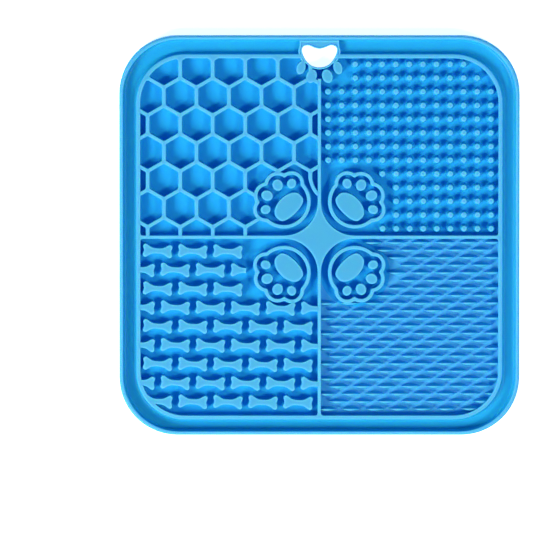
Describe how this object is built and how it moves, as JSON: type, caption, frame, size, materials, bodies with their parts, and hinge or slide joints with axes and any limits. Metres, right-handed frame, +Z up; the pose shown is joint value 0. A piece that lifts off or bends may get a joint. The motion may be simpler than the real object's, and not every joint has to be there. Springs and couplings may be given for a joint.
{
  "type": "lick mat",
  "caption": "Square silicone lick mat for pets with a raised rim and groove, pockets of honeycomb, pegs, bones and fins, paw rings round a star, and a paw-shaped hang hole",
  "frame": {"origin": "middle of the flat underside, on the surface that the mat lies on", "axes": "+Z up out of the textured face, +Y toward the hang hole, +X toward the pocket of pegs"},
  "size_m": [0.2, 0.2, 0.009],
  "materials": {
    "silicone": "soft satin food-grade silicone, sky blue, lighter on rounded edges"
  },
  "bodies": {
    "root": {"mat": "silicone"}
  },
  "joints": []
}
